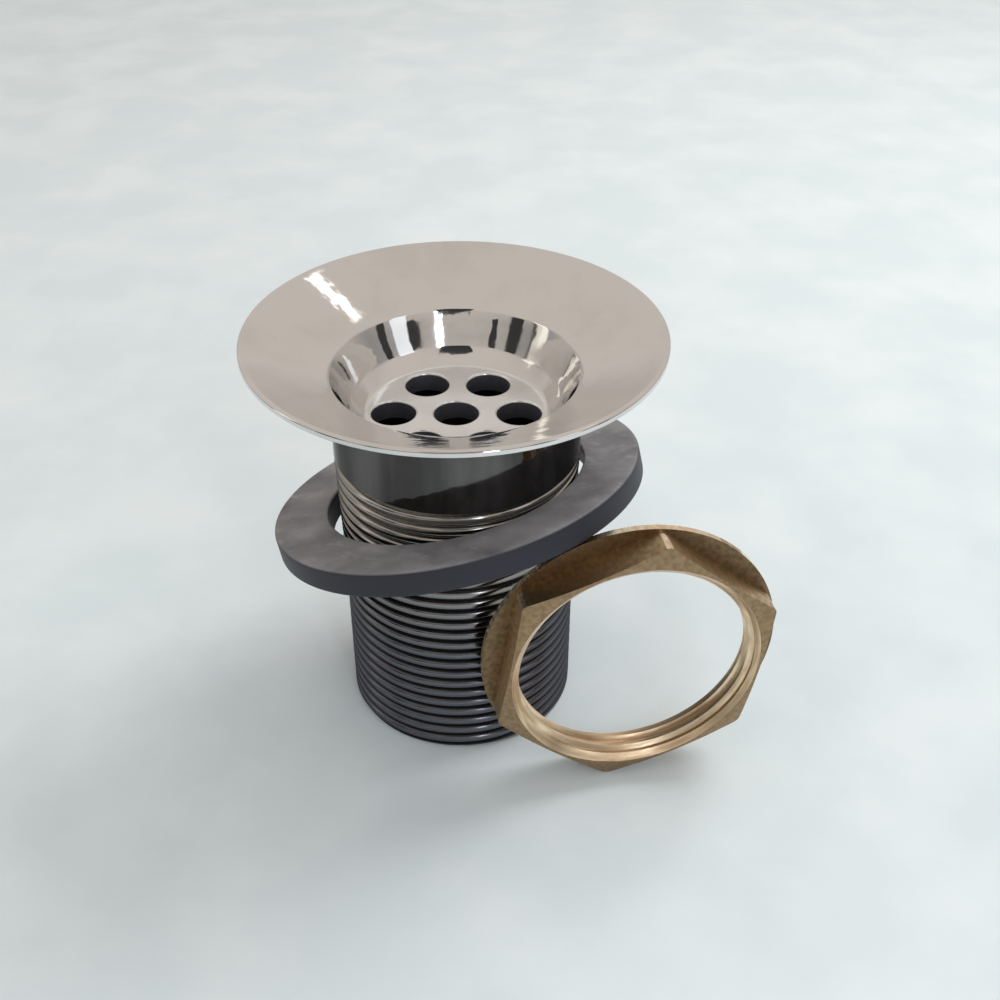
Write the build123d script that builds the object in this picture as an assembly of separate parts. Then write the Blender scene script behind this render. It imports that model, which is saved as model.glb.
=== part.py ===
"""Basin waste coupling with its loose rubber washer and backnut.

The chromed brass body stands on its outlet end. The washer hangs askew round the
barrel, with its high side on the nut, and the nut stands on a corner beside the barrel.
Millimetres, +Z up, origin on the barrel's axis in the plane of the outlet end.
"""
from build123d import *
from math import cos, pi, radians, sin, tan
import os

# Body: rim, dished flange and strainer bowl
overall_height = 76.0
flange_diameter = 71.0
flange_slope = 26.0
rim_thickness = 1.0
rim_land = 0.8
rim_chamfer = 0.25
flange_root_thickness = 3.0
flange_root_chamfer = 1.6
lip_radius = 1.6
bowl_depth = 15.5
bowl_taper = 3.25
bowl_corner_radius = 3.0
floor_rise = 2.6
floor_band = 2.3
floor_edge_radius = 1.5

# Body: strainer grid, six holes round a middle one
grid_thickness = 3.5
grid_margin = 1.1
hole_diameter = 7.6
hole_pitch = 10.8
hole_count = 6
hole_turn = 0.0
hole_countersink = 0.3

# Body: neck and barrel, whose thread runs out up a slight taper
barrel_diameter = 41.91
barrel_wall = 3.5
neck_reach = 0.25
neck_depth = 21.5
run_out_length = 20.5
end_chamfer = 0.8
cavity_chamfer = 1.0

# Rubber washer
washer_slack = 3.6
washer_width = 9.9
washer_thickness = 4.5
washer_chamfer = 0.35
washer_tilt = 17.0
washer_high_side = -41.0

# Hexagonal backnut with a round collar on its back face
nut_sides = 6
nut_thickness = 7.0
nut_thread_depth = 0.75
nut_countersink = 0.85
nut_rim = 0.5
nut_face_margin = 0.25
nut_chamfer_angle = 15.0
nut_collar_thickness = 1.5
nut_collar_reach = 0.25
nut_collar_chamfer = 0.3

# Stance of the backnut: the way its front faces, its highest corner and its place
nut_heading = -79.7
nut_corner_rise = 80.8
nut_gap = 4.8
nut_side = 25.5

# Seating of the loose pieces
rest_clearance = 0.1
settle_steps = 6

# Radii and heights that follow from the sizes above
rim_radius = flange_diameter / 2
grid_radius = hole_pitch + hole_diameter / 2 + grid_margin
bowl_radius = grid_radius + floor_band
mouth_radius = bowl_radius + bowl_taper
neck_radius = mouth_radius + neck_reach
barrel_radius = barrel_diameter / 2
bore_radius = barrel_radius - barrel_wall
grid_top = overall_height - bowl_depth
grid_bottom = grid_top - grid_thickness
neck_bottom = overall_height - neck_depth
run_out_bottom = neck_bottom - run_out_length
washer_hole_radius = max(neck_radius, barrel_radius) + washer_slack / 2
nut_mouth_radius = barrel_radius + nut_countersink
nut_bore_radius = barrel_radius - nut_thread_depth
nut_flat_radius = nut_mouth_radius + nut_rim
nut_corner_radius = nut_flat_radius / cos(pi / nut_sides)
nut_collar_radius = nut_corner_radius + nut_collar_reach


def flange_top(radius):
    """Height of the flange's dished upper face, before its lip is rounded."""
    return overall_height - (rim_radius - rim_land - radius) * tan(radians(flange_slope))


def corner_at(face, corner):
    """Corner of a flat profile that lies at the given point."""
    return face.vertices().sort_by_distance(Vector(*corner))[0]


def body_profile():
    """Half section of the body, with radius along X and height along Y."""
    rim_top = (rim_radius, overall_height)
    rim_inside = (rim_radius - rim_land, overall_height)
    rim_under = (rim_radius, overall_height - rim_thickness)
    lip = (mouth_radius, flange_top(mouth_radius))
    bowl_corner = (bowl_radius, grid_top + floor_rise)
    grid_edge = (grid_radius, grid_top)
    cavity_corner = (bore_radius, grid_bottom)
    flange_root = (neck_radius, flange_top(neck_radius) - flange_root_thickness)
    section = make_face(Polyline(
        rim_top, rim_inside, lip, bowl_corner, grid_edge,
        (0, grid_top), (0, grid_bottom), cavity_corner, (bore_radius, 0),
        (barrel_radius - end_chamfer, 0), (barrel_radius, end_chamfer),
        (barrel_radius, run_out_bottom), (neck_radius, neck_bottom), flange_root, rim_under,
        close=True,
    ))
    for corner, radius in (
        (lip, lip_radius),
        (bowl_corner, bowl_corner_radius),
        (grid_edge, floor_edge_radius),
    ):
        section = fillet(corner_at(section, corner), radius)
    for corner, length in (
        (rim_top, rim_chamfer),
        (rim_under, rim_chamfer),
        (cavity_corner, cavity_chamfer),
        (flange_root, flange_root_chamfer),
    ):
        section = chamfer(corner_at(section, corner), length)
    return section


def strainer_hole():
    """Cutter for one hole of the grid, with its edge broken at the top."""
    shaft = Pos(0, 0, grid_bottom) * Cylinder(
        hole_diameter / 2, grid_thickness, align=(Align.CENTER, Align.CENTER, Align.MIN))
    edge = Pos(0, 0, grid_top - hole_countersink) * Cone(
        hole_diameter / 2, hole_diameter / 2 + hole_countersink, hole_countersink,
        align=(Align.CENTER, Align.CENTER, Align.MIN))
    return shaft + edge


def make_body():
    """Flange, bowl, grid and barrel, turned in one piece."""
    body = revolve(Plane.XZ * body_profile(), Axis.Z)
    cutter = strainer_hole()
    ring = PolarLocations(hole_pitch, hole_count, start_angle=hole_turn)
    return body - [cutter] - [place * cutter for place in ring]


def nut_bore():
    """Cutter for the nut's bore, countersunk at both faces."""
    half = nut_thickness / 2
    mouth_depth = nut_mouth_radius - nut_bore_radius
    return revolve(Plane.XZ * make_face(Polyline(
        (0, -half), (nut_mouth_radius, -half), (nut_bore_radius, mouth_depth - half),
        (nut_bore_radius, half - mouth_depth), (nut_mouth_radius, half), (0, half),
        close=True,
    )), Axis.Z)


def make_nut():
    """Hexagonal nut with its front chamfered, standing on its collar beside the barrel."""
    half = nut_thickness / 2
    face_radius = nut_flat_radius - nut_face_margin
    chamfer_fall = (nut_collar_radius - face_radius) * tan(radians(nut_chamfer_angle))
    hexagon = RegularPolygon(
        nut_flat_radius, nut_sides, major_radius=False, rotation=nut_corner_rise)
    blank = extrude(hexagon, half, both=True)
    turned = revolve(Plane.XZ * make_face(Polyline(
        (0, half), (face_radius, half), (nut_collar_radius, half - chamfer_fall),
        (nut_collar_radius, -half), (0, -half),
        close=True,
    )), Axis.Z)
    collar = revolve(Plane.XZ * make_face(Polyline(
        (0, -half), (nut_collar_radius - nut_collar_chamfer, -half),
        (nut_collar_radius, nut_collar_chamfer - half),
        (nut_collar_radius, nut_collar_thickness - half), (0, nut_collar_thickness - half),
        close=True,
    )), Axis.Z)
    heading = radians(nut_heading)
    front = Vector(cos(heading), sin(heading), 0)
    side = Vector(-sin(heading), cos(heading), 0)
    centre = front * (barrel_radius + nut_gap + half) + side * nut_side
    stance = Plane(origin=centre + Vector(0, 0, nut_collar_radius), x_dir=side, z_dir=front)
    return stance * ((blank & turned) + collar - nut_bore())


def slide_to(piece, support, direction):
    """Slides a piece along a direction until it is a resting clearance from its support."""
    for _ in range(settle_steps):
        step = direction * (piece.distance_to(support) - rest_clearance)
        piece = Pos(*step) * piece
    return piece


def make_washer(body, nut):
    """Flat rubber ring, tilted, drawn against the barrel and lowered onto the nut."""
    outline = Circle(washer_hole_radius + washer_width) - Circle(washer_hole_radius)
    ring = extrude(outline, washer_thickness / 2, both=True)
    start = nut.bounding_box().max.Z + washer_thickness
    ring = Pos(0, 0, start) * Rot(0, 0, washer_high_side) * Rot(0, -washer_tilt, 0) * ring
    high_side = radians(washer_high_side)
    downhill = Vector(-cos(high_side), -sin(high_side), 0)
    ring = slide_to(ring, nut, Vector(0, 0, -1))
    ring = slide_to(ring, body, downhill)
    ring = slide_to(ring, nut, Vector(0, 0, -1))
    return chamfer(ring.edges().filter_by(GeomType.CIRCLE), washer_chamfer)


coupling_body = make_body()
back_nut = make_nut()
rubber_washer = make_washer(coupling_body, back_nut)

os.makedirs("parts", exist_ok=True)
for name, solid in (
    ("coupling_body", coupling_body),
    ("rubber_washer", rubber_washer),
    ("back_nut", back_nut),
):
    export_step(solid, f"parts/{name}.step")
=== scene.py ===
"""Looks of a basin waste coupling with its loose rubber washer and brass backnut.

The chromed body is turned and threaded, the washer is a moulded ring that lies askew on
the barrel, and the nut is a tapped hexagon with a turned collar. Lengths are millimetres
for the pieces and their finishes, and metres in the meshes and the studio.
"""

import logging
import math
from dataclasses import dataclass, replace
from enum import Enum
from typing import Callable

import bpy
from mathutils import Matrix, Vector


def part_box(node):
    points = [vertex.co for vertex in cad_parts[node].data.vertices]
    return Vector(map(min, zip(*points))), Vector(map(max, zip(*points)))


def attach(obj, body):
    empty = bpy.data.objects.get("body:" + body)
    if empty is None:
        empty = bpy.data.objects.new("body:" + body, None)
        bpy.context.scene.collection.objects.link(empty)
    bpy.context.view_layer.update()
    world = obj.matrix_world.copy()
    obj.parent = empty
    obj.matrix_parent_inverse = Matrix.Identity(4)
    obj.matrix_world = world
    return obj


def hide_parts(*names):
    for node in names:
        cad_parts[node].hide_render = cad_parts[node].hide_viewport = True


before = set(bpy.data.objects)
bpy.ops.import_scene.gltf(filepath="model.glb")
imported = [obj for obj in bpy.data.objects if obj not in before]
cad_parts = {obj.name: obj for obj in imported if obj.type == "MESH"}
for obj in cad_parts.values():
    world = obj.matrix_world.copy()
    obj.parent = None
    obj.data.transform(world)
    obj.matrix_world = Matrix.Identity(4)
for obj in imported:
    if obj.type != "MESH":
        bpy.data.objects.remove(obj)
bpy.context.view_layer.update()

logging.basicConfig(level=logging.INFO, format="%(levelname)s %(name)s: %(message)s")
log = logging.getLogger("waste_coupling")

MM = 0.001
FULL_TURN = 2 * math.pi
WELD = 0.0005 * MM
BARREL_RADIUS = 20.955
ROOT_BODY = "root"

Point = tuple[float, float]
Triple = tuple[float, float, float]
Colour = tuple[float, float, float, float]
FaceTest = Callable[[Vector, Vector], bool]


class Cut(Enum):
    """Ways of combining two solids."""

    JOIN = "UNION"
    REMOVE = "DIFFERENCE"
    KEEP_COMMON = "INTERSECT"


class Slot(Enum):
    """Material slots of the record."""

    CHROME = "chrome_plate"
    RUBBER = "black_rubber"
    BRASS = "raw_brass"


@dataclass(frozen=True)
class Corner:
    """One corner of a turned profile, in millimetres from the axis and above its foot."""

    radius: float
    height: float
    rounding: float = 0.0


def deselect_all() -> None:
    """Leaves no object selected."""
    bpy.ops.object.select_all(action="DESELECT")


def activate(piece: bpy.types.Object) -> None:
    """Makes a piece the only one selected and the active one.

    Args:
        piece: The object to work on next.
    """
    deselect_all()
    piece.select_set(True)
    bpy.context.view_layer.objects.active = piece


def rounded_profile(corners: list[Corner], arc_step: float, run_step: float) -> list[Point]:
    """Follows a line of corners, with arcs at the rounded ones.

    Args:
        corners: The corners in order; the first and the last stay sharp.
        arc_step: Turn between the points of an arc, in degrees.
        run_step: Longest straight stretch between two points, in millimetres.

    Returns:
        The points of the profile as radius and height, in millimetres.
    """
    places = [Vector((corner.radius, corner.height)) for corner in corners]
    points = [places[0]]
    for index in range(1, len(corners) - 1):
        here, rounding = places[index], corners[index].rounding
        if rounding == 0:
            points.append(here)
            continue
        back = (places[index - 1] - here).normalized()
        ahead = (places[index + 1] - here).normalized()
        half = back.angle(ahead) / 2
        middle = here + (back + ahead).normalized() * (rounding / math.sin(half))
        start = here + back * (rounding / math.tan(half)) - middle
        sweep = math.pi - 2 * half
        side = 1 if back.x * ahead.y - back.y * ahead.x < 0 else -1
        count = max(2, math.ceil(math.degrees(sweep) / arc_step))
        for step in range(count + 1):
            points.append(middle + Matrix.Rotation(side * sweep * step / count, 2) @ start)
    points.append(places[-1])
    spaced = [points[0]]
    for point in points[1:]:
        count = max(1, math.ceil((point - spaced[-1]).length / run_step))
        start = spaced[-1]
        spaced += [start.lerp(point, (step + 1) / count) for step in range(count)]
    return [(point.x, point.y) for point in spaced]


def draw_line(name: str, points: list[Point]) -> bpy.types.Object:
    """Draws a profile as a line of edges in the XZ plane and leaves it in edit mode.

    Args:
        name: Name of the new object.
        points: Radius and height of each point, in millimetres.

    Returns:
        The new object, with all of its line selected.
    """
    deselect_all()
    bpy.ops.mesh.primitive_plane_add(size=MM, location=(0, 0, 0))
    line = bpy.context.object
    line.name = name
    bpy.ops.object.mode_set(mode="EDIT")
    bpy.ops.mesh.select_all(action="SELECT")
    bpy.ops.mesh.merge(type="CENTER")
    radius, height = points[0]
    bpy.ops.transform.translate(value=(radius * MM, 0, height * MM))
    for (near, low), (far, high) in zip(points, points[1:]):
        step = ((far - near) * MM, 0, (high - low) * MM)
        bpy.ops.mesh.extrude_region_move(TRANSFORM_OT_translate={"value": step})
    bpy.ops.mesh.select_all(action="SELECT")
    return line


def close_up() -> None:
    """Welds the mesh in edit mode, turns its faces outwards and goes back to object mode."""
    bpy.ops.mesh.select_all(action="SELECT")
    bpy.ops.mesh.remove_doubles(threshold=WELD)
    bpy.ops.mesh.normals_make_consistent(inside=False)
    bpy.ops.object.mode_set(mode="OBJECT")


def turned(name: str, points: list[Point], steps: int) -> bpy.types.Object:
    """Turns a profile about the Z axis, as on a lathe.

    Args:
        name: Name of the new object.
        points: Radius and height along the profile, in millimetres.
        steps: Number of faces round the axis.

    Returns:
        The turned object.
    """
    piece = draw_line(name, points)
    bpy.ops.mesh.spin(steps=steps, angle=FULL_TURN, center=(0, 0, 0), axis=(0, 0, 1))
    close_up()
    return piece


def combine(piece: bpy.types.Object, tool: bpy.types.Object, cut: Cut) -> None:
    """Combines a tool with a piece and removes the tool.

    Args:
        piece: The object that is kept.
        tool: The object that is used up.
        cut: How they are combined.
    """
    activate(piece)
    step = piece.modifiers.new("combine", "BOOLEAN")
    step.operation = cut.value
    step.solver = "EXACT"
    step.object = tool
    bpy.ops.object.modifier_apply(modifier=step.name)
    bpy.data.objects.remove(tool)


def shade(piece: bpy.types.Object, sharp_angle: float) -> None:
    """Shades a piece smooth, apart from edges sharper than an angle in degrees."""
    activate(piece)
    bpy.ops.object.shade_smooth_by_angle(angle=math.radians(sharp_angle))


def set_in_place(piece: bpy.types.Object, place: Matrix) -> None:
    """Puts a piece at its place in the frame, with the place in its mesh.

    Args:
        piece: The object to move.
        place: Where it goes.
    """
    activate(piece)
    piece.matrix_world = place
    bpy.ops.object.transform_apply(location=True, rotation=True, scale=True)


def paint_faces(piece: bpy.types.Object, zones: list[tuple[bpy.types.Material, FaceTest]]) -> None:
    """Gives each face the material of the first zone that its centre and normal lie in.

    Args:
        piece: The object to dress.
        zones: Materials, each with a test of a face's centre, in millimetres, and normal.
    """
    piece.data.materials.clear()
    for material, _ in zones:
        piece.data.materials.append(material)
    for face in piece.data.polygons:
        centre = face.center / MM
        face.material_index = next(
            index for index, (_, test) in enumerate(zones) if test(centre, face.normal))


def enlist(piece: bpy.types.Object, node: str) -> None:
    """Lets a finished piece stand for its solid in the frame and reports it.

    Args:
        piece: The finished object.
        node: Name of the solid that it replaces.
    """
    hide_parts(node)
    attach(piece, ROOT_BODY)
    faces = sum(len(face.vertices) - 2 for face in piece.data.polygons)
    log.info("%s: %d triangles, stands for %s", piece.name, faces, node)


class NodeSketch:
    """Shorthand for a node tree."""

    def __init__(self, tree: bpy.types.NodeTree, coordinates: str) -> None:
        """Starts on a tree.

        Args:
            tree: The node tree of a material or a sky.
            coordinates: Name of the coordinates that its patterns follow.
        """
        self.tree = tree
        self.place = tree.nodes.new("ShaderNodeTexCoord").outputs[coordinates]

    def link(self, source: bpy.types.NodeSocket, target: bpy.types.NodeSocket) -> None:
        """Joins two sockets."""
        self.tree.links.new(source, target)

    def stretched(self, stretch: Triple,
                  place: bpy.types.NodeSocket | None = None) -> bpy.types.NodeSocket:
        """Scales coordinates along each axis.

        Args:
            stretch: Scale along each axis.
            place: Coordinates to use in place of the tree's own.

        Returns:
            The socket of the new coordinates.
        """
        node = self.tree.nodes.new("ShaderNodeMapping")
        node.inputs["Scale"].default_value = stretch
        self.link(place or self.place, node.inputs["Vector"])
        return node.outputs["Vector"]

    def along(self, axis: str) -> bpy.types.NodeSocket:
        """Gives the coordinates along one axis.

        Args:
            axis: X, Y or Z.

        Returns:
            The socket of the coordinate.
        """
        parts = self.tree.nodes.new("ShaderNodeSeparateXYZ")
        self.link(self.place, parts.inputs["Vector"])
        return parts.outputs[axis]

    def noise(self, size: float, detail: float, place: bpy.types.NodeSocket | None = None,
              ) -> bpy.types.NodeSocket:
        """Adds cloudy noise.

        Args:
            size: Size of the clouds in millimetres.
            detail: Number of finer layers.
            place: Coordinates to use in place of the object's own.

        Returns:
            The socket of the noise, about 0.5 on average.
        """
        node = self.tree.nodes.new("ShaderNodeTexNoise")
        node.inputs["Scale"].default_value = 1 / (size * MM)
        node.inputs["Detail"].default_value = detail
        self.link(place or self.place, node.inputs["Vector"])
        return node.outputs["Fac"]

    def ramp(self, source: bpy.types.NodeSocket, stops: list[tuple[float, Colour]],
             ) -> bpy.types.NodeSocket:
        """Maps a value to colours.

        Args:
            source: The value, from 0 to 1.
            stops: Places along the value, each with its colour.

        Returns:
            The socket of the colour.
        """
        node = self.tree.nodes.new("ShaderNodeValToRGB")
        elements = node.color_ramp.elements
        while len(elements) < len(stops):
            elements.new(1.0)
        for element, (position, colour) in zip(elements, stops):
            element.position = position
            element.color = colour
        self.link(source, node.inputs["Fac"])
        return node.outputs["Color"]

    def spread(self, source: bpy.types.NodeSocket, low: Point, high: Point) -> bpy.types.NodeSocket:
        """Maps one range of a value to another, held at its ends.

        Args:
            source: The value to map.
            low: A value and what it becomes.
            high: Another value and what it becomes.

        Returns:
            The socket of the mapped value.
        """
        node = self.tree.nodes.new("ShaderNodeMapRange")
        for socket, value in zip(
                ("From Min", "To Min", "From Max", "To Max"), (*low, *high)):
            node.inputs[socket].default_value = value
        self.link(source, node.inputs["Value"])
        return node.outputs["Result"]

    def maths(self, kind: str, first: bpy.types.NodeSocket,
              second: bpy.types.NodeSocket) -> bpy.types.NodeSocket:
        """Works on one value with another.

        Args:
            kind: Name of the operation.
            first: The first value.
            second: The second value.

        Returns:
            The socket of the outcome.
        """
        node = self.tree.nodes.new("ShaderNodeMath")
        node.operation = kind
        self.link(first, node.inputs[0])
        self.link(second, node.inputs[1])
        return node.outputs["Value"]

    def blend(self, share: bpy.types.NodeSocket, base: bpy.types.NodeSocket | Colour,
              over: bpy.types.NodeSocket | Colour) -> bpy.types.NodeSocket:
        """Lays one colour over another.

        Args:
            share: How much of the upper colour shows.
            base: The lower colour.
            over: The upper colour.

        Returns:
            The socket of the blended colour.
        """
        node = self.tree.nodes.new("ShaderNodeMix")
        node.data_type = "RGBA"
        self.link(share, node.inputs["Factor"])
        for socket, colour in (("A", base), ("B", over)):
            target = next(s for s in node.inputs if s.name == socket and s.type == "RGBA")
            if isinstance(colour, tuple):
                target.default_value = colour
            else:
                self.link(colour, target)
        return next(s for s in node.outputs if s.type == "RGBA")


class Recipe(NodeSketch):
    """Shorthand for one material."""

    def __init__(self, name: str) -> None:
        """Starts a material with a bare surface shader.

        Args:
            name: Name of the material.
        """
        self.material = bpy.data.materials.new(name)
        self.material.use_nodes = True
        super().__init__(self.material.node_tree, "Object")
        self.shader = self.tree.nodes["Principled BSDF"]

    def feed(self, name: str, value: bpy.types.NodeSocket | Colour | float) -> None:
        """Gives one input of the surface shader its value.

        Args:
            name: Name of the input.
            value: The value, from a socket or fixed.
        """
        if isinstance(value, bpy.types.NodeSocket):
            self.link(value, self.shader.inputs[name])
        else:
            self.shader.inputs[name].default_value = value

    def own_axes(self, place: Matrix) -> bpy.types.NodeSocket:
        """Gives coordinates in a piece's own axes.

        Args:
            place: Where the piece stands in the frame.

        Returns:
            The socket of the coordinates.
        """
        node = self.tree.nodes.new("ShaderNodeMapping")
        node.vector_type = "TEXTURE"
        node.inputs["Location"].default_value = place.to_translation()
        node.inputs["Rotation"].default_value = place.to_euler()
        self.link(self.place, node.inputs["Vector"])
        return node.outputs["Vector"]

    def radius(self) -> bpy.types.NodeSocket:
        """Gives the distance from the barrel's axis.

        Returns:
            The socket of the distance, in metres.
        """
        flat = self.tree.nodes.new("ShaderNodeCombineXYZ")
        for axis in ("X", "Y"):
            self.link(self.along(axis), flat.inputs[axis])
        length = self.tree.nodes.new("ShaderNodeVectorMath")
        length.operation = "LENGTH"
        self.link(flat.outputs["Vector"], length.inputs[0])
        return length.outputs["Value"]

    def roughen(self, source: bpy.types.NodeSocket, height: float) -> None:
        """Raises the surface by a value.

        Args:
            source: The value, from 0 to 1.
            height: How far a value of 1 raises the surface, in millimetres.
        """
        node = self.tree.nodes.new("ShaderNodeBump")
        node.inputs["Distance"].default_value = height * MM
        node.inputs["Strength"].default_value = 1.0
        self.link(source, node.inputs["Height"])
        self.feed("Normal", node.outputs["Normal"])


@dataclass(frozen=True)
class ChromePlate:
    """Smooth plate with cloudy wipe marks, by default as bright as on the flange and the bowl."""

    colour: Colour = (0.76, 0.75, 0.74, 1)
    marked_colour: Colour = (0.70, 0.685, 0.67, 1)
    roughness: float = 0.05
    mark_roughness: float = 0.14
    mark_size: float = 9.0
    mark_detail: int = 6
    mark_stretch: Triple = (1.0, 1.0, 1.0)
    mark_range: Point = (0.45, 0.75)
    rough_range: Point = (0.45, 0.8)
    ripple_size: float = 4.5
    ripple_height: float = 0.055
    grazing_tint: Colour = (1.0, 1.0, 1.0, 1)

    def material(self, name: str) -> bpy.types.Material:
        """Makes the finish as a material.

        Args:
            name: Name of the material.

        Returns:
            The material.
        """
        recipe = Recipe(name)
        marks = recipe.noise(self.mark_size, self.mark_detail, recipe.stretched(self.mark_stretch))
        clear, marked = self.mark_range
        smooth, rough = self.rough_range
        recipe.feed("Metallic", 1.0)
        recipe.feed("Specular Tint", self.grazing_tint)
        recipe.feed("Base Color", recipe.ramp(
            marks, [(clear, self.colour), (marked, self.marked_colour)]))
        recipe.feed("Roughness", recipe.spread(
            marks, (smooth, self.roughness), (rough, self.mark_roughness)))
        recipe.roughen(recipe.noise(self.ripple_size, 2), self.ripple_height)
        return recipe.material


@dataclass(frozen=True)
class ThreadChrome:
    """Thin plate on a cut thread, painted lighter near the neck and darker lower down as painted
    reflections, and near black in the roots as painted shade.
    """

    # Painted reflections: the plate is lighter near the neck and darker lower down.
    painted_bright_colour: Colour = (0.40, 0.38, 0.35, 1)
    painted_dark_colour: Colour = (0.16, 0.165, 0.19, 1)
    # Painted shade: the roots of the thread go near black.
    root_shade_colour: Colour = (0.02, 0.019, 0.018, 1)
    bright_height: float = 52.0
    dark_height: float = 22.0
    crest_radius: float = 20.9
    groove_depth: float = 0.6
    crest_roughness: float = 0.13
    groove_roughness: float = 0.4
    grazing_tint: Colour = (0.25, 0.25, 0.25, 1)
    mark_size: float = 3.0
    mark_range: Point = (0.4, 0.8)
    mark_roughness: float = 0.12

    def material(self, name: str) -> bpy.types.Material:
        """Makes the finish as a material.

        Args:
            name: Name of the material.

        Returns:
            The material.
        """
        recipe = Recipe(name)
        low = (self.crest_radius - self.groove_depth) * MM
        crest = recipe.spread(recipe.radius(), (low, 0.0), (self.crest_radius * MM, 1.0))
        recipe.feed("Metallic", 1.0)
        recipe.feed("Specular Tint", self.grazing_tint)
        # Painted reflections: the plate lightens from the lower barrel up to the neck.
        bright_share = recipe.spread(
            recipe.along("Z"), (self.dark_height * MM, 0.0), (self.bright_height * MM, 1.0))
        plate = recipe.blend(bright_share, self.painted_dark_colour, self.painted_bright_colour)
        # Painted shade: the colour goes near black towards the roots.
        recipe.feed("Base Color", recipe.blend(crest, self.root_shade_colour, plate))
        clear, marked = self.mark_range
        marks = recipe.spread(
            recipe.noise(self.mark_size, 5), (clear, 0.0), (marked, self.mark_roughness))
        base = recipe.spread(crest, (0.0, self.groove_roughness), (1.0, self.crest_roughness))
        recipe.feed("Roughness", recipe.maths("ADD", base, marks))
        return recipe.material


@dataclass(frozen=True)
class MouldedRubber:
    """Black rubber with a dusty, scuffed upper face."""

    colour: Colour = (0.023, 0.025, 0.036, 1)
    dust_colour: Colour = (0.37, 0.365, 0.385, 1)
    scuff_colour: Colour = (0.52, 0.51, 0.515, 1)
    roughness: float = 0.5
    dust_roughness: float = 0.8
    grain_size: float = 0.35
    grain_height: float = 0.02
    upper_range: Point = (0.35, 0.95)
    dust_size: float = 9.0
    dust_range: Point = (0.3, 0.65)
    least_dust: float = 0.4
    scuff_size: float = 4.0
    scuff_range: Point = (0.58, 0.9)
    scuff_strength: float = 0.8
    scuff_stretch: Triple = (1.0, 2.2, 1.0)
    gloss: float = 0.4

    def material(self, name: str, place: Matrix) -> bpy.types.Material:
        """Makes the finish as a material.

        Args:
            name: Name of the material.
            place: Where the washer lies in the frame, with its axis along Z.

        Returns:
            The material.
        """
        recipe = Recipe(name)
        upward = recipe.tree.nodes.new("ShaderNodeVectorMath")
        upward.operation = "DOT_PRODUCT"
        upward.inputs[1].default_value = place.to_3x3() @ Vector((0, 0, 1))
        normal = recipe.tree.nodes.new("ShaderNodeNewGeometry").outputs["Normal"]
        recipe.link(normal, upward.inputs[0])
        steep, level = self.upper_range
        upper = recipe.spread(upward.outputs["Value"], (steep, 0.0), (level, 1.0))
        thin, thick = self.dust_range
        clouds = recipe.spread(
            recipe.noise(self.dust_size, 7), (thin, self.least_dust), (thick, 1.0))
        dust = recipe.maths("MULTIPLY", upper, clouds)
        along = recipe.stretched(self.scuff_stretch, recipe.own_axes(place))
        whole, scuffed = self.scuff_range
        scuffs = recipe.spread(
            recipe.noise(self.scuff_size, 8, along), (whole, 0.0), (scuffed, self.scuff_strength))
        scuffs = recipe.maths("MULTIPLY", scuffs, upper)
        dusty = recipe.blend(dust, self.colour, self.dust_colour)
        recipe.feed("Base Color", recipe.blend(scuffs, dusty, self.scuff_colour))
        recipe.feed("Roughness", recipe.spread(
            dust, (0.0, self.roughness), (1.0, self.dust_roughness)))
        recipe.feed("Specular IOR Level", self.gloss)
        recipe.roughen(recipe.noise(self.grain_size, 3), self.grain_height)
        return recipe.material


@dataclass(frozen=True)
class RawBrass:
    """Unplated brass, from dull flats to bright edges, whose brightness is partly a painted
    highlight.
    """

    colour: Colour = (0.60, 0.42, 0.245, 1)
    stained_colour: Colour = (0.43, 0.29, 0.16, 1)
    roughness: float = 0.34
    stained_roughness: float = 0.46
    stain_size: float = 0.9
    stain_range: Point = (0.38, 0.62)
    rough_range: Point = (0.35, 0.65)
    grain_size: float = 0.4
    grain_height: float = 0.03
    grain_stretch: Triple = (1.0, 1.0, 0.8)

    def material(self, name: str, place: Matrix) -> bpy.types.Material:
        """Makes the finish as a material.

        Args:
            name: Name of the material.
            place: Where the nut stands in the frame, with its axis along Z.

        Returns:
            The material.
        """
        recipe = Recipe(name)
        along = recipe.stretched(self.grain_stretch, recipe.own_axes(place))
        stains = recipe.noise(self.stain_size, 7, along)
        stained, bare = self.stain_range
        rough, smooth = self.rough_range
        recipe.feed("Metallic", 1.0)
        recipe.feed("Base Color", recipe.ramp(
            stains, [(stained, self.stained_colour), (bare, self.colour)]))
        recipe.feed("Roughness", recipe.spread(
            stains, (rough, self.stained_roughness), (smooth, self.roughness)))
        recipe.roughen(recipe.noise(self.grain_size, 4, along), self.grain_height)
        return recipe.material


POLISHED_CHROME = ChromePlate()
# Painted shade: the neck under the flange is painted near black, with lighter upright streaks as
# painted reflections.
SHADED_NECK_CHROME = replace(
    POLISHED_CHROME, colour=(0.065, 0.063, 0.061, 1), marked_colour=(0.16, 0.155, 0.15, 1),
    mark_stretch=(1.0, 1.0, 0.12), grazing_tint=(0.55, 0.55, 0.55, 1))
GRID_PLATE = ChromePlate(
    colour=(0.86, 0.88, 0.89, 1), marked_colour=(0.77, 0.79, 0.79, 1),
    roughness=0.2, mark_roughness=0.32, mark_size=6.0, mark_detail=5,
    mark_range=(0.4, 0.7), rough_range=(0.4, 0.75), ripple_size=0.5, ripple_height=0.004)
# Painted shade in the strainer holes: their walls are darker than the grid, with a bluish tint as a
# painted sky sheen.
SHADED_HOLE_WALL = replace(
    GRID_PLATE, colour=(0.24, 0.25, 0.30, 1), marked_colour=(0.14, 0.14, 0.17, 1),
    roughness=0.6, mark_roughness=0.75)
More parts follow.
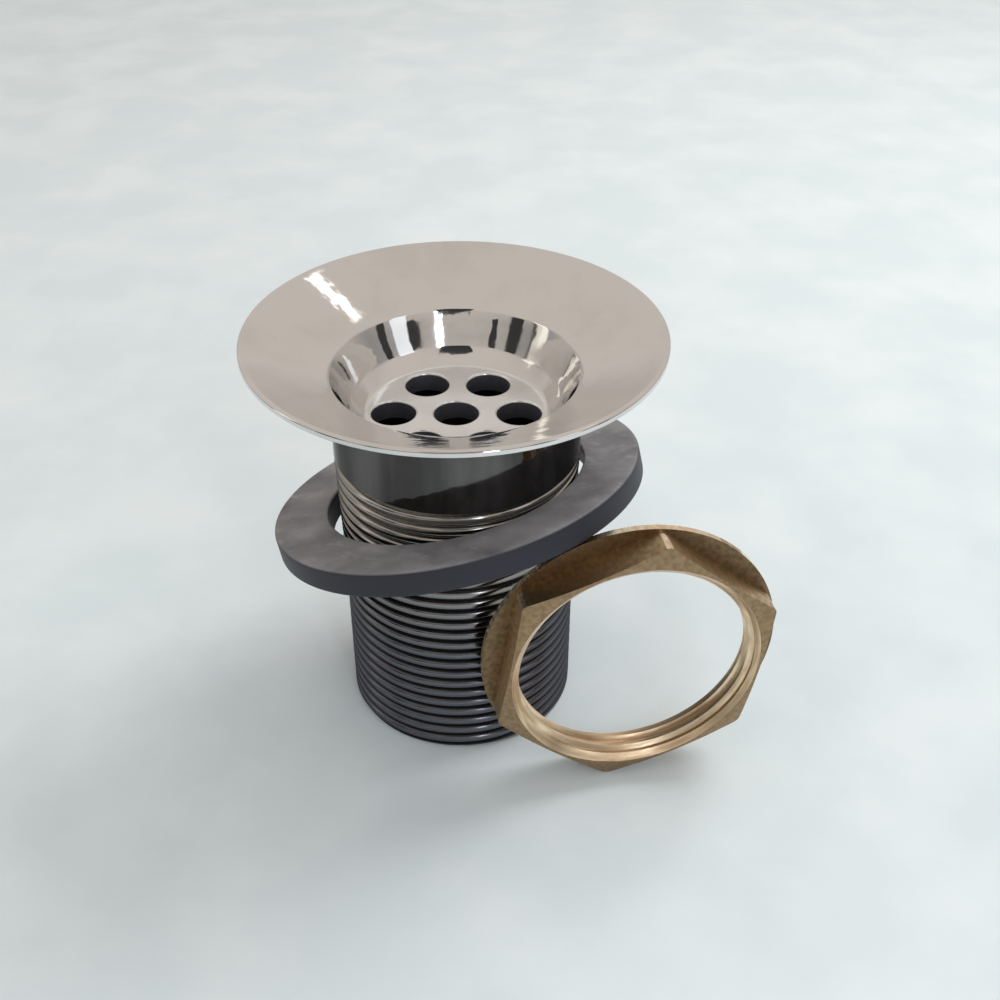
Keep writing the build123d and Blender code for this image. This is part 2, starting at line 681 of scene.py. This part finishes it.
# Painted shade inside the barrel and under the grid: darker than the grid plate.
SHADED_BARREL_INSIDE = replace(
    GRID_PLATE, colour=(0.4, 0.38, 0.34, 1), marked_colour=(0.33, 0.31, 0.28, 1))
BORE_BRASS = RawBrass(
    colour=(0.93, 0.73, 0.50, 1), stained_colour=(0.60, 0.44, 0.275, 1),
    roughness=0.26, stained_roughness=0.4, grain_height=0.012, grain_stretch=(0.12, 0.12, 1.4))
# Painted shade: the collar's shoulder is painted dark brown for the shadow of the washer and the
# flange.
SHADED_SHOULDER_BRASS = RawBrass(colour=(0.25, 0.175, 0.10, 1), stained_colour=(0.175, 0.12, 0.068, 1))
# Painted shade: the turned front, chamfer and back are painted darker than the flats.
SHADED_TURNED_BRASS = RawBrass(
    colour=(0.36, 0.248, 0.145, 1), stained_colour=(0.27, 0.183, 0.104, 1),
    roughness=0.28, stained_roughness=0.38, grain_height=0.015)
# Painted bright along the edges, as worn brass and as a painted highlight.
EDGE_BRASS_AND_HIGHLIGHT = RawBrass(
    colour=(1.0, 0.84, 0.64, 1), stained_colour=(0.82, 0.63, 0.43, 1),
    roughness=0.2, stained_roughness=0.32, grain_height=0.01)


@dataclass(frozen=True)
class ThreadForm:
    """Pipe thread with 55 degree vees and rounded crests, in millimetres."""

    pitch: float = 2.309
    depth: float = 0.75
    vee_angle: float = 55.0
    crest_width: float = 1.2
    crest_rounding: float = 0.7
    root_rounding: float = 0.12
    steps: int = 128
    spare_turns: int = 2

    def one_turn(self, crest_radius: float, start: float) -> list[Point]:
        """Draws one pitch of the thread, from groove to groove.

        Args:
            crest_radius: Distance of the crest from the axis.
            start: Height of the first groove.

        Returns:
            Radius and height of each point.
        """
        root = crest_radius - self.depth
        flank = self.depth * math.tan(math.radians(self.vee_angle / 2))
        half_crest, middle, end = self.crest_width / 2, start + self.pitch / 2, start + self.pitch
        return rounded_profile([
            Corner(root, start),
            Corner(root, middle - half_crest - flank, self.root_rounding),
            Corner(crest_radius, middle - half_crest, self.crest_rounding),
            Corner(crest_radius, middle + half_crest, self.crest_rounding),
            Corner(root, middle + half_crest + flank, self.root_rounding),
            Corner(root, end),
        ], arc_step=16.0, run_step=1.5)

    def rod(self, name: str, crest_radius: float, low: float, high: float) -> bpy.types.Object:
        """Winds a solid threaded rod along the Z axis.

        Args:
            name: Name of the new object.
            crest_radius: Radius over the crests.
            low: Height of its lower end.
            high: Height of its upper end.

        Returns:
            The rod, closed at both ends.
        """
        start = low - self.spare_turns * self.pitch
        rod = draw_line(name, self.one_turn(crest_radius, start))
        bpy.ops.object.mode_set(mode="OBJECT")
        winding = rod.modifiers.new("winding", "SCREW")
        winding.axis = "Z"
        winding.angle = FULL_TURN
        winding.screw_offset = self.pitch * MM
        winding.iterations = math.ceil((high - start) / self.pitch) + self.spare_turns
        winding.steps = winding.render_steps = self.steps
        activate(rod)
        bpy.ops.object.modifier_apply(modifier=winding.name)
        bpy.ops.object.mode_set(mode="EDIT")
        bpy.ops.mesh.select_all(action="SELECT")
        bpy.ops.mesh.remove_doubles(threshold=WELD)
        for height, clear in ((low, "clear_inner"), (high, "clear_outer")):
            bpy.ops.mesh.select_all(action="SELECT")
            bpy.ops.mesh.bisect(plane_co=(0, 0, height * MM), plane_no=(0, 0, 1),
                                use_fill=True, **{clear: True})
        close_up()
        return rod


@dataclass
class CouplingBody:
    """The chromed body: flange, lip, bowl, grid, neck and threaded barrel."""

    height: float = 76.0
    rim_radius: float = 35.5
    rim_land: float = 0.8
    rim_thickness: float = 1.0
    rim_rounding: float = 0.35
    flange_slope: float = 26.0
    flange_thickness: float = 3.0
    flange_root_rounding: float = 2.5
    lip_rounding: float = 1.6
    mouth_radius: float = 21.25
    bowl_radius: float = 18.0
    bowl_corner_rounding: float = 3.0
    floor_rise: float = 2.6
    grid_radius: float = 15.7
    grid_edge_rounding: float = 1.5
    grid_top: float = 60.5
    grid_bottom: float = 57.0
    hole_radius: float = 3.8
    hole_pitch: float = 10.8
    hole_count: int = 6
    hole_turn: float = 0.0
    hole_rounding: float = 0.5
    neck_radius: float = 21.5
    neck_bottom: float = 54.5
    barrel_radius: float = BARREL_RADIUS
    run_out_bottom: float = 34.0
    bore_radius: float = 17.455
    bore_relief: float = 0.15
    end_chamfer: float = 0.8
    seam_overlap: float = 0.6
    cutter_reach: float = 1.0
    run_out_limit: float = 0.92
    zone_slack: float = 0.1
    wall_tilt: float = 0.3
    neck_tilt: float = 0.5
    sharp_angle: float = 32.0
    hole_steps: int = 64
    steps: int = 192
    thread: ThreadForm = ThreadForm()

    def flange_top(self, radius: float) -> float:
        """Gives the height of the dished flange at a radius."""
        fall = self.rim_radius - self.rim_land - radius
        return self.height - fall * math.tan(math.radians(self.flange_slope))

    def top_profile(self) -> list[Point]:
        """Draws the flange, bowl, grid and neck from the axis round to the axis.

        Returns:
            Radius and height of each point.
        """
        root = self.flange_top(self.neck_radius) - self.flange_thickness
        rim_inside = self.rim_radius - self.rim_land
        return rounded_profile([
            Corner(0, self.grid_top),
            Corner(self.grid_radius, self.grid_top, self.grid_edge_rounding),
            Corner(self.bowl_radius, self.grid_top + self.floor_rise, self.bowl_corner_rounding),
            Corner(self.mouth_radius, self.flange_top(self.mouth_radius), self.lip_rounding),
            Corner(rim_inside, self.height, self.rim_rounding),
            Corner(self.rim_radius, self.height, self.rim_rounding),
            Corner(self.rim_radius, self.height - self.rim_thickness, self.rim_rounding),
            Corner(self.neck_radius, root, self.flange_root_rounding),
            Corner(self.neck_radius, self.neck_bottom),
            Corner(self.bore_radius, self.neck_bottom),
            Corner(self.bore_radius, self.grid_bottom),
            Corner(0, self.grid_bottom),
        ], arc_step=7.5, run_step=1.6)

    def hole_cutter(self) -> bpy.types.Object:
        """Makes the cutter for one hole, flared to round the hole's upper edge.

        Returns:
            The cutter, on the axis.
        """
        rounding, past = self.hole_rounding, self.cutter_reach
        flare_degrees = range(0, 81, 16)
        profile = [(0, self.grid_bottom - past), (self.hole_radius, self.grid_bottom - past)]
        for turn in flare_degrees:
            angle = math.radians(turn)
            profile.append((self.hole_radius + rounding * (1 - math.cos(angle)),
                            self.grid_top - rounding * (1 - math.sin(angle))))
        edge = profile[-1][0]
        profile += [(edge, self.grid_top + past), (0, self.grid_top + past)]
        return turned("hole_cutter", profile, self.hole_steps)

    def cut_holes(self, top: bpy.types.Object) -> None:
        """Cuts the middle hole and the ring of holes through the grid.

        Args:
            top: The turned upper part of the body.
        """
        cutter = self.hole_cutter()
        copies = [cutter]
        for index in range(self.hole_count):
            angle = math.radians(self.hole_turn) + FULL_TURN * index / self.hole_count
            copy = cutter.copy()
            copy.data = cutter.data.copy()
            bpy.context.scene.collection.objects.link(copy)
            reach = self.hole_pitch * MM
            set_in_place(copy, Matrix.Translation(
                (reach * math.cos(angle), reach * math.sin(angle), 0)))
            copies.append(copy)
        deselect_all()
        for copy in copies:
            copy.select_set(True)
        bpy.context.view_layer.objects.active = cutter
        bpy.ops.object.join()
        combine(top, cutter, Cut.REMOVE)

    def barrel(self) -> bpy.types.Object:
        """Makes the threaded barrel, which grows slightly where its thread runs out.

        Returns:
            The barrel, bored a little wider than the part above it.
        """
        buried = self.neck_bottom + self.seam_overlap
        past = buried + self.cutter_reach
        rod = self.thread.rod("barrel", self.barrel_radius, -self.end_chamfer, past)
        rise = self.neck_bottom - self.run_out_bottom
        growth = (self.neck_radius - self.barrel_radius) / self.barrel_radius
        for vertex in rod.data.vertices:
            share = (vertex.co.z / MM - self.run_out_bottom) / rise
            scale = 1 + growth * min(max(share, 0.0), self.run_out_limit)
            vertex.co.x *= scale
            vertex.co.y *= scale
        wide = self.neck_radius + self.cutter_reach
        relieved = self.bore_radius + self.bore_relief
        slope_top = wide - self.barrel_radius + self.end_chamfer
        blank = turned("barrel_blank", [
            (relieved, 0), (self.barrel_radius - self.end_chamfer, 0), (wide, slope_top),
            (wide, buried), (relieved, buried), (relieved, 0),
        ], self.steps)
        combine(rod, blank, Cut.KEEP_COMMON)
        return rod

    def dress(self, body: bpy.types.Object) -> None:
        """Plates the body: bright above, soft on the grid and inside, with painted reflections on
        the thread and painted shade on the neck, in the holes, inside the barrel and in the thread
        roots.

        Args:
            body: The finished mesh.
        """
        wall = (self.bore_radius + self.barrel_radius) / 2

        def in_hole(centre: Vector, normal: Vector) -> bool:
            """Tells whether a face belongs to the wall of a strainer hole."""
            inside = centre.xy.length < self.grid_radius
            upright = abs(normal.z) < self.wall_tilt
            return inside and upright and self.grid_bottom < centre.z < self.grid_top

        def on_grid(centre: Vector, normal: Vector) -> bool:
            """Tells whether a face belongs to the grid."""
            inside = centre.xy.length < self.grid_radius
            return inside and self.grid_bottom < centre.z < self.grid_top + self.hole_rounding

        def in_barrel(centre: Vector, normal: Vector) -> bool:
            """Tells whether a face lies inside the barrel or under the grid."""
            return centre.xy.length < wall and centre.z <= self.grid_bottom + self.zone_slack

        def on_thread(centre: Vector, normal: Vector) -> bool:
            """Tells whether a face belongs to the outside of the barrel."""
            return centre.z < self.neck_bottom

        def on_neck(centre: Vector, normal: Vector) -> bool:
            """Tells whether a face belongs to the neck below the flange."""
            outside = centre.xy.length > self.neck_radius - self.zone_slack
            upright = abs(normal.z) < self.neck_tilt
            return outside and upright and centre.z < self.flange_top(self.neck_radius)

        paint_faces(body, [
            (SHADED_HOLE_WALL.material("hole_wall_painted_shade"), in_hole),
            (GRID_PLATE.material("grid_plate"), on_grid),
            (SHADED_BARREL_INSIDE.material("barrel_inside_painted_shade"), in_barrel),
            (ThreadChrome().material("thread_chrome"), on_thread),
            (SHADED_NECK_CHROME.material("neck_chrome_painted_shade"), on_neck),
            (POLISHED_CHROME.material("polished_chrome"), lambda centre, normal: True),
        ])

    def build(self) -> bpy.types.Object:
        """Builds and dresses the body.

        Returns:
            The finished body.
        """
        top = turned("coupling_body_plated", self.top_profile(), self.steps)
        self.cut_holes(top)
        combine(top, self.barrel(), Cut.JOIN)
        shade(top, self.sharp_angle)
        self.dress(top)
        enlist(top, "coupling_body")
        return top


@dataclass
class RubberWasher:
    """The loose flat ring, lying askew round the barrel."""

    hole_radius: float = 23.3
    width: float = 9.9
    thickness: float = 4.5
    rounding: float = 0.55
    tilt: float = 17.0
    high_side: float = -41.0
    sharp_angle: float = 50.0
    steps: int = 192

    def place(self) -> Matrix:
        """Gives where the washer lies: its centre from the frame, and its tilt.

        Returns:
            Its place, with its axis along Z.
        """
        low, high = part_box("rubber_washer")
        turn = Matrix.Rotation(math.radians(self.high_side), 4, "Z")
        lean = Matrix.Rotation(math.radians(-self.tilt), 4, "Y")
        return Matrix.Translation((low + high) / 2) @ turn @ lean

    def build(self) -> bpy.types.Object:
        """Builds and dresses the washer.

        Returns:
            The finished washer.
        """
        outer, half = self.hole_radius + self.width, self.thickness / 2
        middle = self.hole_radius + self.width / 2
        profile = rounded_profile([
            Corner(middle, half),
            Corner(outer, half, self.rounding),
            Corner(outer, -half, self.rounding),
            Corner(self.hole_radius, -half, self.rounding),
            Corner(self.hole_radius, half, self.rounding),
            Corner(middle, half),
        ], arc_step=15.0, run_step=1.2)
        washer = turned("rubber_washer_ring", profile, self.steps)
        place = self.place()
        set_in_place(washer, place)
        shade(washer, self.sharp_angle)
        washer.data.materials.append(MouldedRubber().material("moulded_rubber", place))
        enlist(washer, "rubber_washer")
        return washer


@dataclass
class BackNut:
    """The brass hexagon with its turned collar, standing beside the barrel."""

    sides: int = 6
    thickness: float = 7.0
    flat_radius: float = 22.305
    mouth_radius: float = 21.805
    face_margin: float = 0.25
    chamfer_angle: float = 15.0
    collar_thickness: float = 1.5
    collar_reach: float = 0.25
    collar_chamfer: float = 0.3
    tap_radius: float = 21.05
    heading: float = -79.7
    corner_rise: float = 80.8
    gap: float = 4.8
    side: float = 25.5
    barrel_radius: float = BARREL_RADIUS
    edge_rounding: float = 0.7
    cutter_reach: float = 1.0
    zone_slack: float = 0.1
    mouth_slack: float = 0.05
    flat_tilt: float = 0.1
    flat_spread: float = 6.0
    shoulder_facing: float = 0.9
    end_facing: float = 0.94
    sharp_angle: float = 32.0
    steps: int = 192
    thread: ThreadForm = ThreadForm(depth=0.9, crest_width=0.7, crest_rounding=0.12)

    def __post_init__(self) -> None:
        """Works out the radii that follow from the size across the flats."""
        self.corner_radius = self.flat_radius / math.cos(math.pi / self.sides)
        self.collar_radius = self.corner_radius + self.collar_reach

    def place(self) -> Matrix:
        """Gives where the nut stands: its axis along its heading, its collar on the floor.

        Returns:
            Its place, with its axis along Z.
        """
        heading = math.radians(self.heading)
        front = Vector((math.cos(heading), math.sin(heading), 0))
        side = Vector((-math.sin(heading), math.cos(heading), 0))
        centre = front * (self.barrel_radius + self.gap + self.thickness / 2) + side * self.side
        centre.z = self.collar_radius
        axes = Matrix((side, front.cross(side), front)).transposed().to_4x4()
        return Matrix.Translation(centre * MM) @ axes

    def hexagon(self) -> bpy.types.Object:
        """Makes the six-sided blank with its front turned to a chamfer.

        Returns:
            The blank, without its collar and its bore.
        """
        half = self.thickness / 2
        low, high = self.collar_thickness / 2 - half, half + self.cutter_reach
        deselect_all()
        bpy.ops.mesh.primitive_cylinder_add(
            vertices=self.sides, radius=self.corner_radius * MM, depth=(high - low) * MM,
            location=(0, 0, (low + high) / 2 * MM),
            rotation=(0, 0, math.radians(self.corner_rise - 90)))
        blank = bpy.context.object
        blank.name = "back_nut_tapped"
        bpy.ops.object.transform_apply(location=True, rotation=True, scale=True)
        activate(blank)
        bpy.ops.object.mode_set(mode="EDIT")
        bpy.ops.mesh.select_mode(type="EDGE")
        bpy.ops.mesh.select_all(action="DESELECT")
        bpy.ops.object.mode_set(mode="OBJECT")
        for edge in blank.data.edges:
            foot, head = (blank.data.vertices[index].co.z for index in edge.vertices)
            edge.select = abs(head - foot) > MM
        bpy.ops.object.mode_set(mode="EDIT")
        bpy.ops.mesh.bevel(offset=self.edge_rounding * MM, segments=2, affect="EDGES")
        bpy.ops.mesh.select_mode(type="VERT")
        bpy.ops.object.mode_set(mode="OBJECT")
        face = self.flat_radius - self.face_margin
        wide, under = self.collar_radius + self.cutter_reach, -half - self.cutter_reach
        fall = (wide - face) * math.tan(math.radians(self.chamfer_angle))
        envelope = turned("nut_envelope", [
            (0, half), (face, half), (wide, half - fall), (wide, under), (0, under),
        ], self.steps)
        combine(blank, envelope, Cut.KEEP_COMMON)
        return blank

    def collar(self) -> bpy.types.Object:
        """Makes the round collar on the nut's back face.

        Returns:
            The collar, without its bore.
        """
        back = -self.thickness / 2
        rim, chamfer = self.collar_radius, self.collar_chamfer
        return turned("nut_collar", [
            (0, back), (rim - chamfer, back), (rim, back + chamfer),
            (rim, back + self.collar_thickness), (0, back + self.collar_thickness),
        ], self.steps)

    def mouth(self, side: int) -> bpy.types.Object:
        """Makes the cone that opens the bore towards one face.

        Args:
            side: 1 for the front and -1 for the back.

        Returns:
            The cutter.
        """
        half, past = self.thickness / 2, self.cutter_reach
        inner = self.tap_radius - self.thread.depth - past
        depth = self.mouth_radius - inner
        return turned("nut_mouth", [
            (0, side * (half - depth)), (inner, side * (half - depth)),
            (self.mouth_radius + past, side * (half + past)), (0, side * (half + past)),
        ], self.steps)

    def tap(self) -> bpy.types.Object:
        """Makes the cutter of the threaded bore."""
        reach = self.thickness / 2 + 2 * self.cutter_reach
        return self.thread.rod("nut_tap", self.tap_radius, -reach, reach)

    def dress(self, nut: bpy.types.Object, place: Matrix) -> None:
        """Gives each kind of face its own brass, with the edges and the bore brightest; the shoulder
        and the ends carry painted shade, and the edges partly a painted highlight.

        Args:
            nut: The finished mesh.
            place: Where the nut stands in the frame.
        """
        inverse = place.inverted()
        turn = inverse.to_3x3()

        def local(centre: Vector) -> Vector:
            """Gives a point of the frame in the nut's own axes, in millimetres."""
            return (inverse @ (centre * MM)) / MM

        def on_flat(centre: Vector, normal: Vector) -> bool:
            """Tells whether a face belongs to one of the six flats and not to an edge."""
            outside = local(centre).xy.length > self.flat_radius - self.face_margin
            outward = turn @ normal
            side = 360 / self.sides
            heading = math.degrees(math.atan2(outward.y, outward.x)) - self.corner_rise
            off_middle = abs(heading % side - side / 2)
            return outside and abs(outward.z) < self.flat_tilt and off_middle < self.flat_spread

        def on_shoulder(centre: Vector, normal: Vector) -> bool:
            """Tells whether a face belongs to the collar's shoulder behind the flats."""
            behind = local(centre).z < self.collar_thickness - self.thickness / 2 + self.zone_slack
            return behind and (turn @ normal).z > self.shoulder_facing

        def on_end(centre: Vector, normal: Vector) -> bool:
            """Tells whether a face belongs to the front, its chamfer or the back."""
            return abs((turn @ normal).z) > self.end_facing

        def in_bore(centre: Vector, normal: Vector) -> bool:
            """Tells whether a face belongs to the threaded bore."""
            inside = local(centre).xy.length < self.mouth_radius + self.mouth_slack
            return inside and abs((turn @ normal).z) < self.end_facing

        paint_faces(nut, [
            (BORE_BRASS.material("bore_brass", place), in_bore),
            (RawBrass().material("flat_brass", place), on_flat),
            (SHADED_SHOULDER_BRASS.material("shoulder_brass_painted_shade", place), on_shoulder),
            (SHADED_TURNED_BRASS.material("turned_brass_painted_shade", place), on_end),
            (EDGE_BRASS_AND_HIGHLIGHT.material("edge_brass_painted_highlight", place), lambda centre, normal: True),
        ])

    def build(self) -> bpy.types.Object:
        """Builds and dresses the nut.

        Returns:
            The finished nut.
        """
        nut = self.hexagon()
        combine(nut, self.collar(), Cut.JOIN)
        for cutter in (self.mouth(1), self.mouth(-1), self.tap()):
            combine(nut, cutter, Cut.REMOVE)
        place = self.place()
        set_in_place(nut, place)
        shade(nut, self.sharp_angle)
        self.dress(nut, place)
        enlist(nut, "back_nut")
        return nut


def facing(place: Triple, aim: Triple) -> Matrix:
    """Gives the matrix of something at a place whose back points away from its aim."""
    look = Vector(aim) - Vector(place)
    return Matrix.Translation(place) @ look.to_track_quat("-Z", "Y").to_matrix().to_4x4()


@dataclass(frozen=True)
class Softbox:
    """One studio light, with lengths in metres and power in watts."""

    name: str
    place: Triple
    size: Point
    power: float
    colour: Triple
    mirrored: bool = True

    def hang(self, aim: Triple) -> None:
        """Hangs the light.

        Args:
            aim: The point that it faces.
        """
        lamp = bpy.data.lights.new(self.name, "AREA")
        lamp.shape = "RECTANGLE"
        lamp.size, lamp.size_y = self.size
        lamp.energy = self.power
        lamp.color = self.colour
        holder = bpy.data.objects.new(self.name, lamp)
        holder.visible_glossy = self.mirrored
        bpy.context.scene.collection.objects.link(holder)
        holder.matrix_world = facing(self.place, aim)


@dataclass(frozen=True)
class DarkCard:
    """A card that shows only in reflections, with lengths in metres."""

    name: str
    place: Triple
    size: Point
    colour: Colour = (0.04, 0.04, 0.04, 1)
    roughness: float = 0.9

    def hang(self, aim: Triple) -> None:
        """Hangs the card.

        Args:
            aim: The point that it faces.
        """
        deselect_all()
        bpy.ops.mesh.primitive_plane_add(size=1)
        card = bpy.context.object
        card.name = self.name
        card.matrix_world = facing(self.place, aim) @ Matrix.Diagonal((*self.size, 1, 1))
        card.visible_camera = card.visible_diffuse = card.visible_shadow = False
        recipe = Recipe(self.name)
        recipe.feed("Base Color", self.colour)
        recipe.feed("Roughness", self.roughness)
        card.data.materials.append(recipe.material)


@dataclass
class Studio:
    """Pale floor, soft lights, dark cards, sky and camera, with lengths in metres."""

    aim: Triple = (0.0, 0.0, 0.04)
    floor_size: float = 4.0
    floor_colour: Colour = (0.73, 0.84, 0.895, 1)
    floor_patch_colour: Colour = (0.80, 0.90, 0.95, 1)
    floor_patch_size: float = 30.0  # Millimetres, as in the finishes
    floor_patch_range: Point = (0.4, 0.65)
    floor_roughness: float = 0.6
    # Heading in degrees and width of each dark card round the front
    flags: tuple[Point, ...] = ((-14, 0.09), (-47, 0.12), (-128, 0.07), (-150, 0.14), (-172, 0.09))
    flag_distance: float = 0.6
    flag_height: float = 0.36
    camera_place: Triple = (0.0075, -0.1902, 0.18005)
    camera_elevation: float = 36.0
    camera_lens: float = 46.99

    def lay_floor(self) -> None:
        """Lays the floor on which the object stands."""
        deselect_all()
        bpy.ops.mesh.primitive_plane_add(size=self.floor_size, location=(0, 0, 0))
        floor = bpy.context.object
        floor.name = "floor"
        recipe = Recipe("pale_floor")
        patches = recipe.noise(self.floor_patch_size, 6)
        plain, patched = self.floor_patch_range
        stone = recipe.ramp(
            patches, [(plain, self.floor_colour), (patched, self.floor_patch_colour)])
        recipe.feed("Base Color", stone)
        recipe.feed("Roughness", self.floor_roughness)
        floor.data.materials.append(recipe.material)

    def hang_lights(self) -> None:
        """Hangs the softboxes."""
        for box in (
            Softbox("key_back", (0.37, 0.26, 0.54), (0.34, 0.34), 1.9, (1.0, 0.98, 0.95), False),
            Softbox("front_fill", (0.30, -0.45, 0.40), (0.30, 0.30), 0.40, (0.90, 0.95, 1.0), False),
            Softbox("window", (0.20, 0.34, 0.60), (0.07, 0.035), 0.009, (1.0, 1.0, 1.0)),
            Softbox("warm_left", (-0.45, -0.02, 0.20), (0.10, 0.25), 0.07, (1.0, 0.93, 0.82)),
            Softbox("cool_right", (0.50, -0.32, 0.30), (0.16, 0.30), 0.11, (0.80, 0.90, 1.0)),
            Softbox("cool_front", (0.155, -0.475, 0.24), (0.06, 0.34), 0.32, (0.82, 0.90, 1.0)),
        ):
            box.hang(self.aim)

    def stand_cards(self) -> None:
        """Stands dark cards behind the viewer and round the front, for the plate to mirror."""
        DarkCard("viewer_card", (0.0075, -0.2, 0.252), (0.14, 0.11)).hang(self.aim)
        level = self.flag_height / 2
        for index, (heading, width) in enumerate(self.flags):
            turn = math.radians(heading)
            place = (self.flag_distance * math.cos(turn), self.flag_distance * math.sin(turn), level)
            DarkCard(f"flag_{index}", place, (width, self.flag_height)).hang((0.0, 0.0, level))

    def spread_sky(self) -> None:
        """Spreads a soft sky that is dimmer low in front."""
        world = bpy.data.worlds.new("studio_sky")
        world.use_nodes = True
        sketch = NodeSketch(world.node_tree, "Generated")
        height = sketch.along("Z")
        plain = sketch.ramp(height, [
            (0.0, (0.50, 0.455, 0.42, 1)),
            (0.30, (0.66, 0.60, 0.55, 1)),
        ])
        dim = sketch.ramp(height, [
            (0.0, (0.25, 0.245, 0.24, 1)),
            (0.25, (0.33, 0.315, 0.30, 1)),
            (0.60, (0.60, 0.545, 0.50, 1)),
        ])
        front = sketch.spread(sketch.along("Y"), (0.0, 1.0), (0.5, 0.0))
        low = sketch.spread(height, (0.32, 1.0), (0.62, 0.0))
        sketch.link(sketch.blend(sketch.maths("MULTIPLY", front, low), plain, dim),
                    world.node_tree.nodes["Background"].inputs["Color"])
        bpy.context.scene.world = world

    def set_camera(self) -> None:
        """Sets the camera at the height and distance of the viewer."""
        lens = bpy.data.cameras.new("viewer")
        lens.lens = self.camera_lens
        camera = bpy.data.objects.new("viewer", lens)
        bpy.context.scene.collection.objects.link(camera)
        tilt = Matrix.Rotation(math.radians(90 - self.camera_elevation), 4, "X")
        camera.matrix_world = Matrix.Translation(self.camera_place) @ tilt
        bpy.context.scene.camera = camera

    def build(self) -> None:
        """Builds the studio round the object."""
        self.lay_floor()
        self.hang_lights()
        self.stand_cards()
        self.spread_sky()
        self.set_camera()
        bpy.context.scene.view_settings.view_transform = "Standard"


def main() -> None:
    """Builds the object piece by piece, then the studio round it."""
    CouplingBody().build()
    RubberWasher().build()
    BackNut().build()
    Studio().build()


if __name__ == "__main__":
    main()
